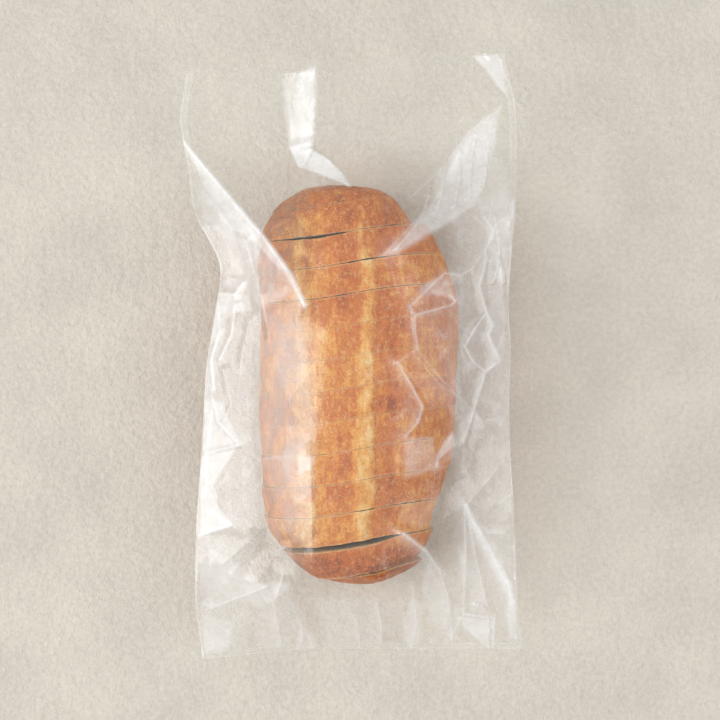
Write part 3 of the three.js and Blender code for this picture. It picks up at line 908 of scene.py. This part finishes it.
def make_front_film(bag, form, material):
    x, y, across, along = film_plan(FRONT_GRID, bag, form)
    rim = BACK_FILM + RIM_ROOM + edge_lift(y, bag, form)
    gape = MOUTH_GAPE * np.sin(math.pi * across) ** MOUTH_ARCH
    mouth = along == 1
    rim[mouth] = (BACK_FILM + RIM_ROOM + gape)[mouth]
    back = back_height(x, y, bag, form) + PANEL_ROOM
    crust = form.top(x, y, BESIDE_ROOM)
    under = np.where(crust > 0, crust + FILM_ROOM, back)
    height = pulled_tight(x, y, under, rim)
    # Waves and folds die away at the weld. Waves form in loose film only.
    edge = np.minimum(across, 1 - across) * (x[:, -1:] - x[:, :1])
    free, seam = fade_in(edge, y, FOLD_FADE), fade_in(edge, y, SEAM_FADE)
    sag = film_sag(x, y) * fade_in(edge, y, WAVE_FADE)
    sag = sag * mix(FLAT_SHARE, 1, smooth_step(y, *FLAT_MOUTH))
    loose = smooth_step(height - under, *LOOSE_FROM_TO)
    folds, white, doubled = folded(x, y)
    height = height + bag.slack * sag * loose + bag.creasing * folds * mix(free, 1, WELD_FOLDS) * seam
    height = np.maximum(height, under - (FILM_ROOM - LEAST_ROOM) * (crust > 0))
    height = np.maximum(height, back)
    height[:, 0], height[:, -1], height[0, :] = rim[:, 0], rim[:, -1], rim[0, :]
    shape = grid_of(np.stack([x, y, height], axis=-1), "bag_front")
    piece = film_piece(shape, "bag_front", material)
    to_edge = np.minimum(edge, y - y[:1, :])
    weld = WELD_WHITE * (1 - smooth_step(to_edge, WELD * 0.8, WELD))
    # the seal's line, and a painted highlight along the bag's very edge
    weld_lines_and_highlight = WELD_LINE_AND_HIGHLIGHT * np.maximum(hump(to_edge, 0.3 * MM, 0.8 * MM), 0.6 * hump(to_edge, WELD, 0.7 * MM))
    # whiteness of crumpled film with its painted glare and edge highlights
    store(piece.data, "white", np.maximum(white, np.maximum(weld, weld_lines_and_highlight)).ravel())
    store(piece.data, "doubled", doubled.ravel())
    return piece


def make_back_film(bag, form, material):
    x, y, _across, _along = film_plan(BACK_GRID, bag, form)
    height = back_height(x, y, bag, form)
    rim = BACK_FILM + edge_lift(y, bag, form)
    height[:, 0], height[:, -1] = rim[:, 0], rim[:, -1]
    shape = grid_of(np.stack([x, y, height], axis=-1), "bag_back")
    bmesh.ops.reverse_faces(shape, faces=shape.faces)
    return film_piece(shape, "bag_back", material)


def film_piece(shape, name, material):
    """Turns a panel of film into a piece that casts no shadow, since film this thin casts almost none."""
    for face in shape.faces:
        face.smooth = True
    piece = finished(shape, name, [material])
    piece.visible_shadow = False
    return piece


# ---- Materials ----
class Signal:
    """A number that varies over a surface. Maths on it adds Math nodes."""

    def __init__(self, paint, socket):
        self.paint = paint
        self.socket = socket

    def __add__(self, other):
        return self.paint.maths("ADD", self, other)

    def __sub__(self, other):
        return self.paint.maths("SUBTRACT", self, other)

    def __rsub__(self, other):
        return self.paint.maths("SUBTRACT", other, self)

    def __mul__(self, other):
        return self.paint.maths("MULTIPLY", self, other)

    def __pow__(self, other):
        return self.paint.maths("POWER", self, other)

    __radd__ = __add__
    __rmul__ = __mul__

    def between(self, low, high):
        """0 below low, 1 above high, smooth between."""
        settings = {"interpolation_type": "SMOOTHSTEP"}
        ranged = self.paint.node("ShaderNodeMapRange", settings, self, low, high)
        return Signal(self.paint, ranged.outputs["Result"])


class Paint:
    """One material's node tree."""

    def __init__(self, name):
        self.material = bpy.data.materials.new(name)
        self.material.use_nodes = True
        self.tree = self.material.node_tree
        self.tree.nodes.clear()
        self.place = self.node("ShaderNodeTexCoord").outputs["Object"]

    def node(self, kind, settings=None, *values, **named):
        """Adds a node: its settings first, then its live sockets in order or by name."""
        made = self.tree.nodes.new(kind)
        for key, value in (settings or {}).items():
            if key == "stops":
                self.set_stops(made.color_ramp, value)
            else:
                setattr(made, key, value)
        live = [socket for socket in made.inputs if socket.enabled]
        for socket, value in zip(live, values):
            self.feed(socket, value)
        for key, value in named.items():
            self.feed(next(s for s in live if s.name.replace(" ", "_") == key), value)
        return made

    def feed(self, socket, value):
        value = getattr(value, "socket", value)
        if isinstance(value, bpy.types.NodeSocket):
            self.tree.links.new(value, socket)
        elif value is not None:
            socket.default_value = value

    def set_stops(self, ramp, stops):
        while len(ramp.elements) < len(stops):
            ramp.elements.new(1)
        for element, (position, colour) in zip(ramp.elements, stops):
            element.position = position
            element.color = (*colour, 1)

    def maths(self, operation, *values):
        return Signal(self, self.node("ShaderNodeMath", {"operation": operation}, *values).outputs[0])

    def attribute(self, name):
        made = self.node("ShaderNodeAttribute", {"attribute_name": name})
        return Signal(self, made.outputs["Fac"])

    def noise(self, scale, detail, roughness, place=None):
        named = {"Vector": place or self.place, "Scale": scale, "Detail": detail, "Roughness": roughness}
        return Signal(self, self.node("ShaderNodeTexNoise", **named).outputs[0])

    def cells(self, scale):
        made = self.node("ShaderNodeTexVoronoi", Vector=self.place, Scale=scale)
        return Signal(self, made.outputs["Distance"])

    def stretched(self, scale):
        return self.node("ShaderNodeMapping", Vector=self.place, Scale=scale).outputs[0]

    def ramp(self, factor, stops):
        return self.node("ShaderNodeValToRGB", {"stops": stops}, factor).outputs["Color"]

    def mixed(self, factor, first, second):
        made = self.node("ShaderNodeMix", {"data_type": "RGBA"}, Factor=factor, A=first, B=second)
        return next(s for s in made.outputs if s.enabled)

    def bump(self, height, strength, distance):
        made = self.node("ShaderNodeBump", Height=height, Strength=strength, Distance=distance)
        return made.outputs["Normal"]

    def surface(self, shader):
        self.node("ShaderNodeOutputMaterial", Surface=shader.outputs[0])
        return self.material

    def matt(self, colour, roughness, normal, shine):
        """Finishes the material as one that light doesn't pass through."""
        named = {"Base_Color": colour, "Roughness": roughness, "Normal": normal, "Specular_IOR_Level": shine}
        return self.surface(self.node("ShaderNodeBsdfPrincipled", **named))


# Colours of crust that has baked less, or more, than the two that are settings, by how dark it is.
PALE_STOPS = [(0.0, (0.88, 0.64, 0.33)), (0.2, (0.83, 0.49, 0.17))]
DARK_STOPS = [(0.85, (0.51, 0.13, 0.025)), (1.0, (0.30, 0.07, 0.025))]
FLOUR, PORE_DARK, TORN_CRUMB = (0.86, 0.58, 0.27, 1), (0.22, 0.07, 0.03, 1), (0.80, 0.55, 0.28, 1)
# colour of the painted shade laid over the crust's left side, which faces the window light
PAINTED_SHADE_COLOUR = (0.28, 0.17, 0.10, 1)
HEEL_DARKER = 0.03  # how much further a heel's crust has baked


def crust_material(name, loaf, darker):
    """Baked crust: colour from how dark it has baked, with fine mottling, pale flakes, pores and painted
    shade on its left side.
    """
    paint = Paint(name)
    bake, torn, dull = (paint.attribute(stored) for stored in ("bake", "torn", "dull"))
    blotch = paint.noise(95, 5, 0.6)
    grain = paint.noise(620, 6, 0.72)
    streak = paint.noise(300, 5, 0.65, paint.stretched((1, 0.28, 1)))
    speck = paint.noise(1500, 3, 0.6)
    shade = bake + (blotch - 0.5) * 0.75 + (grain - 0.5) * 0.8 + (streak - 0.5) * 0.75 + darker
    shade = shade + (speck - 0.5) * 0.6
    middle_stops = [(0.42, tuple(loaf.golden)), (0.62, tuple(loaf.baked))]
    colour = paint.ramp(shade, [*PALE_STOPS, *middle_stops, *DARK_STOPS])
    flour = paint.noise(430, 5, 0.7, paint.stretched((1, 0.6, 1))).between(0.55, 0.61)
    pore = 1 - paint.cells(900).between(0.12, 0.3)
    patchy = (blotch * 0.6 + grain * 0.4).between(0.38, 0.62)
    for share, over in (
        (flour * 0.36, FLOUR),
        # the pores are coloured darker than the crust round them
        (pore * blotch.between(0.45, 0.7) * 0.5, PORE_DARK),
        (torn * (blotch + grain - 0.35).between(0.4, 0.75) * 0.75, TORN_CRUMB),
        # painted shade over the crust's left side
        (dull * (patchy * 0.5 + 0.24), PAINTED_SHADE_COLOUR),
    ):
        colour = paint.mixed(share, colour, over)
    height = grain * 0.55 + streak * 0.4 + speck * 0.25 - pore * 0.3 + blotch * 0.6
    return paint.matt(colour, 0.72 - (grain - 0.5) * 0.5, paint.bump(height, 0.9, 1.3 * MM), 0.35)


def crumb_material(loaf):
    """The cut face: cream crumb with open holes, painted darker inside as their shade."""
    paint = Paint("crumb")
    large = paint.cells(230).between(0.1, 0.42)
    small = paint.cells(720).between(0.1, 0.5)
    tint = paint.noise(60, 4, 0.6)
    wall = large * 0.6 + small * 0.4
    # the holes take the ramp's dark end: painted shade
    colour = paint.ramp(
        wall * 0.8 + tint * 0.25,
        [(0.0, (0.36, 0.22, 0.11)), (0.45, (0.66, 0.47, 0.27)), (0.9, tuple(loaf.crumb))],
    )
    return paint.matt(colour, 0.85, paint.bump(wall, 0.8, 1.2 * MM), 0.25)


BACK_SHARE = 0.15  # how much haze and gloss the back film has, beside the front film's


def film_material(name, bag, share):
    """Clear film: see-through with a little haze, whitening and painted glare, and a mirror gloss that grows
    at a glancing view.

    share scales the haze and the gloss, since the back film, on the floor, shows less of them.
    """
    paint = Paint(name)
    white, doubled = paint.attribute("white"), paint.attribute("doubled")
    normal = paint.bump(paint.noise(55, 3, 0.5) + paint.noise(260, 3, 0.55) * 0.22, 0.25, 2 * MM)
    scuff = paint.noise(90, 5, 0.65)
    clear = paint.node("ShaderNodeBsdfTransparent", Color=(1, 1, 0.998, 1))
    milk_and_glare = paint.node("ShaderNodeBsdfDiffuse", Color=(0.91, 0.91, 0.91, 1), Normal=normal)
    # the stored whiteness paints the film's glare as white haze, over its real whitening
    streaky_white_and_glare = white * (scuff.between(0.3, 0.7) * 0.3 + 0.7)
    # so haze here carries painted glare as well as the film's own haze
    haze = (scuff.between(0.35, 0.75) * 0.6 + 0.7) * bag.haze * share + streaky_white_and_glare
    body = paint.node("ShaderNodeMixShader", None, haze, clear.outputs[0], milk_and_glare.outputs[0])
    sheen = paint.node("ShaderNodeBsdfGlossy", Color=(1, 1, 1, 1), Roughness=bag.roughness, Normal=normal)
    facing = Signal(paint, paint.node("ShaderNodeLayerWeight", Blend=0.5).outputs["Facing"])
    straight = bag.gloss * share
    gloss = facing**5 * (1 - straight) + straight + doubled * 0.02
    return paint.surface(paint.node("ShaderNodeMixShader", None, gloss, body.outputs[0], sheen.outputs[0]))


FLOOR_MOTTLE = 0.88, 1.1  # how far the floor's colour ranges to each side of the one set


def floor_material(stage):
    paint = Paint("floor")
    cloud = paint.noise(14, 5, 0.55)
    grit = paint.noise(300, 6, 0.68)
    relief = paint.noise(120, 4, 0.6)
    mottle = (cloud * 0.45 + grit * 0.55).between(0.3, 0.7)
    darker, lighter = ((*(part * share for part in stage.floor), 1) for share in FLOOR_MOTTLE)
    colour = paint.mixed(mottle, darker, lighter)
    return paint.matt(colour, 0.9, paint.bump(grit + relief * 1.6 + cloud * 3, 0.6, 2.2 * MM), 0.2)


# ---- Settings ----
def number_field(name, description, default, **limits):
    return FloatProperty(name=name, description=description, default=default, **limits)


def length_field(name, description, default, **limits):
    return number_field(name, description, default, unit="LENGTH", subtype="DISTANCE", **limits)


def colour_field(name, description, default):
    return FloatVectorProperty(
        name=name, description=description, default=default, size=3, min=0, max=1, subtype="COLOR"
    )


class LoafSettings(bpy.types.PropertyGroup):
    """Sizes and colours of the bread."""

    length: length_field("Length", "Loaf's length with its slices closed up", 0.259, min=0.1)
    width: length_field("Width", "Loaf's width at its widest line", 0.133, min=0.05)
    height: length_field("Height", "Loaf's height at its middle", 0.082, min=0.03)
    foot_heel: length_field("Foot heel", "Depth of the heel at the bag's foot", 0.007, min=0.002)
    cut_gap: length_field("Cut gap", "Usual gap between neighbouring slices", 0.0004, min=0)
    cut_slant: number_field("Cut slant", "Slant of each cut across the loaf", 0.18, min=-0.5, max=0.5)
    golden: colour_field("Golden crust", "Colour of lightly baked crust", (0.76, 0.33, 0.065))
    baked: colour_field("Baked crust", "Colour of well baked crust", (0.62, 0.19, 0.04))
    crumb: colour_field("Crumb", "Colour of the cut bread", (0.80, 0.66, 0.46))


class BagSettings(bpy.types.PropertyGroup):
    """The film bag's lie and finish."""

    edge_lift: length_field("Edge lift", "Height of the long edges beside the loaf", 0.037, min=0, max=0.04)
    slack: number_field("Slack", "Strength of the film's waves", 1.0, min=0, max=3)
    creasing: number_field("Creasing", "Strength of folds and creases", 1.0, min=0, max=3)
    haze: number_field("Haze", "Share of light the film scatters", 0.045, min=0, max=1)
    gloss: number_field("Gloss", "Share mirrored when seen straight on", 0.046, min=0, max=1)
    roughness: number_field("Roughness", "Roughness of the gloss", 0.14, min=0, max=1)


class StageSettings(bpy.types.PropertyGroup):
    """Floor, lights and camera."""

    floor: colour_field("Floor", "Colour of the floor", (0.665, 0.625, 0.555))
    key_power: number_field("Key power", "Power of the large window light", 76.0, min=0, unit="POWER")
    fill_power: number_field("Fill power", "Power of the far light", 17.0, min=0, unit="POWER")
    sky: number_field("Sky", "Strength of the light from all round", 0.56, min=0)
    eye_height: length_field("Camera height", "Height of the camera over the floor", 1.304, min=0.2)
    lens: IntProperty(name="Lens", description="Focal length of the camera", default=96, min=10)


# ---- Stage ----
EYE_X, EYE_Y = 6 * MM, -2.4 * MM  # the camera looks straight down from over this point
FLOOR_SIDE = 3.0
SKY_TINT = (1.0, 0.985, 0.96, 1)
KEY_PLACE, KEY_SIZE, KEY_AIM = Vector((-2.3, -0.3, 1.85)), (2.2, 3.6), Vector((0, 0, 0.05))
FILL_PLACE, FILL_SIZE = Vector((2.0, 0.2, 1.7)), (1.8, 1.8)


def add_light(name, place, aim, size, power):
    light = bpy.data.lights.new(name, "AREA")
    light.shape = "RECTANGLE"
    light.size, light.size_y = size
    light.energy = power
    lamp = bpy.data.objects.new(name, light)
    lamp.location = place
    lamp.rotation_euler = (aim - place).to_track_quat("-Z", "Y").to_euler()
    lamp.visible_camera = False
    bpy.context.collection.objects.link(lamp)


class LOAF_OT_stage(bpy.types.Operator):
    """Makes the floor, the soft lights and the camera"""

    bl_idname = "loaf.stage"
    bl_label = "Make Stage"

    def execute(self, context):
        stage = context.scene.loaf_stage
        shape = bmesh.new()
        bmesh.ops.create_grid(shape, x_segments=4, y_segments=4, size=FLOOR_SIDE / 2)
        finished(shape, "floor", [floor_material(stage)])
        add_light("window", KEY_PLACE, KEY_AIM, KEY_SIZE, stage.key_power)
        add_light("fill", FILL_PLACE, KEY_AIM, FILL_SIZE, stage.fill_power)
        world = bpy.data.worlds.new("studio")
        world.use_nodes = True
        sky = world.node_tree.nodes["Background"]
        sky.inputs["Color"].default_value = SKY_TINT
        sky.inputs["Strength"].default_value = stage.sky
        context.scene.world = world
        context.scene.view_settings.view_transform = "Standard"
        camera = bpy.data.cameras.new("camera")
        camera.lens = stage.lens
        eye = bpy.data.objects.new("camera", camera)
        eye.location = (EYE_X, EYE_Y, stage.eye_height)
        context.collection.objects.link(eye)
        context.scene.camera = eye
        return {"FINISHED"}


def make_bread(context, indices, crust_name, darker):
    """Makes some of the slices, with a crust and a crumb of their own."""
    loaf = context.scene.loaf_bread
    form = LoafForm(loaf)
    materials = [crust_material(crust_name, loaf, darker), crumb_material(loaf)]
    for index in indices:
        make_slice(index, form, loaf, materials)


class LOAF_OT_slices(bpy.types.Operator):
    """Makes the twelve inner slices"""

    bl_idname = "loaf.slices"
    bl_label = "Make Slices"

    def execute(self, context):
        make_bread(context, range(1, SLICE_COUNT - 1), "crust", 0.0)
        return {"FINISHED"}


class LOAF_OT_heels(bpy.types.Operator):
    """Makes the two heels"""

    bl_idname = "loaf.heels"
    bl_label = "Make Heels"

    def execute(self, context):
        make_bread(context, (0, SLICE_COUNT - 1), "heel_crust", HEEL_DARKER)
        return {"FINISHED"}


class LOAF_OT_bag(bpy.types.Operator):
    """Makes the bag's front and back film"""

    bl_idname = "loaf.bag"
    bl_label = "Make Bag"

    def execute(self, context):
        bag = context.scene.loaf_bag
        form = LoafForm(context.scene.loaf_bread)
        front_film = film_material("bag_film", bag, 1.0)
        back_film = film_material("back_film", bag, BACK_SHARE)
        front = make_front_film(bag, form, front_film)
        back = make_back_film(bag, form, back_film)
        for piece, node, held, under in (
            (front, "bag_front_film", "draped", [name + "_crust" for name in SLICE_NAMES]),
            (back, "bag_back_film", "laid", ["floor"]),
        ):
            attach(piece, "root")
            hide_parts(node)
        return {"FINISHED"}


class LOAF_PT_panel(bpy.types.Panel):
    """Lists the settings and the steps that make the loaf"""

    bl_idname = "LOAF_PT_panel"
    bl_label = "Sliced Country Loaf"
    bl_space_type = "VIEW_3D"
    bl_region_type = "UI"
    bl_category = "Loaf"

    def draw(self, context):
        column = self.layout.column()
        for settings in (context.scene.loaf_bread, context.scene.loaf_bag, context.scene.loaf_stage):
            for name in settings.__annotations__:
                column.prop(settings, name)
        for operator in OPERATORS:
            column.operator(operator.bl_idname)


SETTINGS = {"loaf_bread": LoafSettings, "loaf_bag": BagSettings, "loaf_stage": StageSettings}
OPERATORS = (LOAF_OT_stage, LOAF_OT_slices, LOAF_OT_heels, LOAF_OT_bag)


def register():
    for cls in (*SETTINGS.values(), *OPERATORS, LOAF_PT_panel):
        bpy.utils.register_class(cls)
    for name, cls in SETTINGS.items():
        setattr(bpy.types.Scene, name, PointerProperty(type=cls))


def unregister():
    for name in SETTINGS:
        delattr(bpy.types.Scene, name)
    for cls in (LOAF_PT_panel, *reversed(OPERATORS), *SETTINGS.values()):
        bpy.utils.unregister_class(cls)


def main():
    register()
    bpy.ops.loaf.stage()
    bpy.ops.loaf.slices()
    bpy.ops.loaf.heels()
    bpy.ops.loaf.bag()


if __name__ == "__main__":
    main()
